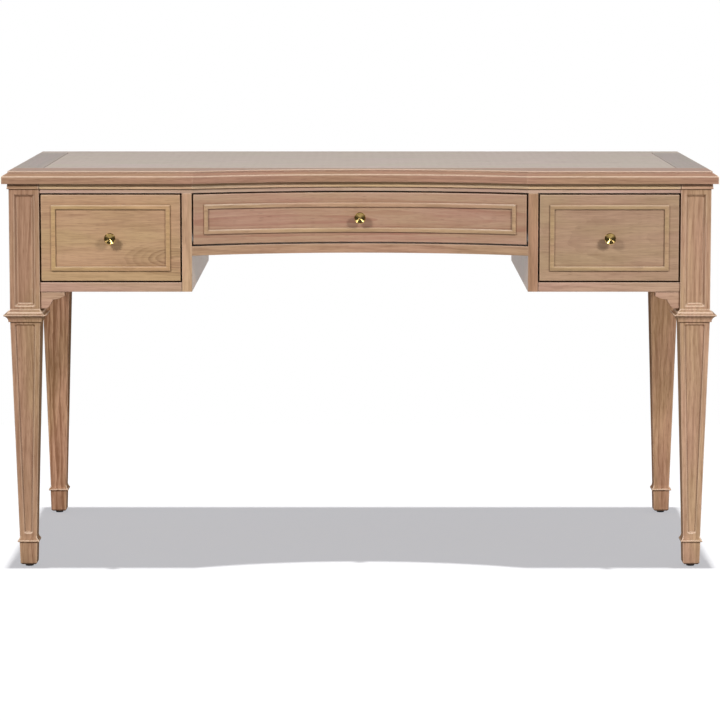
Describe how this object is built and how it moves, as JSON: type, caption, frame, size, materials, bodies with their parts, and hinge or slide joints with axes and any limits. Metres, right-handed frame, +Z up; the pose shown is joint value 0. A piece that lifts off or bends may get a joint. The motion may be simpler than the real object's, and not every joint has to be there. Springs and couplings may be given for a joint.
{
  "type": "writing desk with drawers",
  "caption": "Kneehole writing desk with square tapered legs, a front that bows in over the knees, and brass-knobbed drawers on telescopic slides.",
  "frame": {"origin": "on the floor below the middle of the top", "axes": "+X to the right as seen from the front, +Y from the drawer side to the back, +Z up"},
  "size_m": [1.372, 0.669, 0.772],
  "materials": {
    "top_veneer": "satin lacquered light walnut, long grain",
    "top_border_wood": "satin lacquered light walnut",
    "leg_wood": "satin lacquered light walnut, upright grain",
    "case_wood": "satin lacquered light walnut",
    "drawer_wood": "satin lacquered light walnut",
    "bead_wood": "satin lacquered light walnut",
    "box_wood": "pale sanded drawer lining",
    "plywood": "thin birch plywood",
    "knob_brass": "turned and polished",
    "zinc_steel": "zinc plated",
    "glide_plastic": "black"
  },
  "bodies": {
    "desk_frame": {"back_apron": "case_wood", "bracket_left": "case_wood", "bracket_right": "case_wood", "centre_rail": "case_wood", "cornice_back": "case_wood", "cornice_front_centre": "case_wood", "cornice_front_left": "case_wood", "cornice_front_right": "case_wood", "cornice_side_left": "case_wood", "cornice_side_right": "case_wood", "dust_panels": "plywood", "foot_glides": "glide_plastic", "leg_back_left": "leg_wood", "leg_back_right": "leg_wood", "leg_front_left": "leg_wood", "leg_front_right": "leg_wood", "lower_rail_left": "case_wood", "lower_rail_right": "case_wood", "partition_left": "case_wood", "partition_right": "case_wood", "side_apron_left": "case_wood", "side_apron_right": "case_wood", "slide_outers": "zinc_steel", "slide_packings": "box_wood", "top_border_back": "top_border_wood", "top_border_front": "top_border_wood", "top_border_left": "top_border_wood", "top_border_right": "top_border_wood", "top_field": "top_veneer", "top_rail": "case_wood"},
    "drawer_left": {"drawer_left_back": "box_wood", "drawer_left_bead": "bead_wood", "drawer_left_bottom": "plywood", "drawer_left_front": "drawer_wood", "drawer_left_side_left": "box_wood", "drawer_left_side_right": "box_wood", "knob_left": "knob_brass", "knob_screw_left": "zinc_steel", "slide_inner_left": "zinc_steel"},
    "slide_carriage_left": {"slide_middle_left": "zinc_steel"},
    "drawer_centre": {"drawer_centre_back": "box_wood", "drawer_centre_bead": "bead_wood", "drawer_centre_bottom": "plywood", "drawer_centre_front": "drawer_wood", "drawer_centre_side_left": "box_wood", "drawer_centre_side_right": "box_wood", "knob_centre": "knob_brass", "knob_screw_centre": "zinc_steel", "slide_inner_centre": "zinc_steel"},
    "slide_carriage_centre": {"slide_middle_centre": "zinc_steel"},
    "drawer_right": {"drawer_right_back": "box_wood", "drawer_right_bead": "bead_wood", "drawer_right_bottom": "plywood", "drawer_right_front": "drawer_wood", "drawer_right_side_left": "box_wood", "drawer_right_side_right": "box_wood", "knob_right": "knob_brass", "knob_screw_right": "zinc_steel", "slide_inner_right": "zinc_steel"},
    "slide_carriage_right": {"slide_middle_right": "zinc_steel"}
  },
  "joints": [
    {"name": "drawer_left_pull", "type": "slide", "parent": "desk_frame", "child": "drawer_left", "axis": [0, -1, 0], "range_m": [0, 0.4]},
    {"name": "slide_carriage_left_run", "type": "slide", "parent": "desk_frame", "child": "slide_carriage_left", "axis": [0, -1, 0], "range_m": [0, 0.2]},
    {"name": "drawer_centre_pull", "type": "slide", "parent": "desk_frame", "child": "drawer_centre", "axis": [0, -1, 0], "range_m": [0, 0.4]},
    {"name": "slide_carriage_centre_run", "type": "slide", "parent": "desk_frame", "child": "slide_carriage_centre", "axis": [0, -1, 0], "range_m": [0, 0.2]},
    {"name": "drawer_right_pull", "type": "slide", "parent": "desk_frame", "child": "drawer_right", "axis": [0, -1, 0], "range_m": [0, 0.4]},
    {"name": "slide_carriage_right_run", "type": "slide", "parent": "desk_frame", "child": "slide_carriage_right", "axis": [0, -1, 0], "range_m": [0, 0.2]}
  ],
  "couplings": [
    {"joint": "slide_carriage_left_run", "follows": "drawer_left_pull", "ratio": 0.5},
    {"joint": "slide_carriage_centre_run", "follows": "drawer_centre_pull", "ratio": 0.5},
    {"joint": "slide_carriage_right_run", "follows": "drawer_right_pull", "ratio": 0.5}
  ]
}
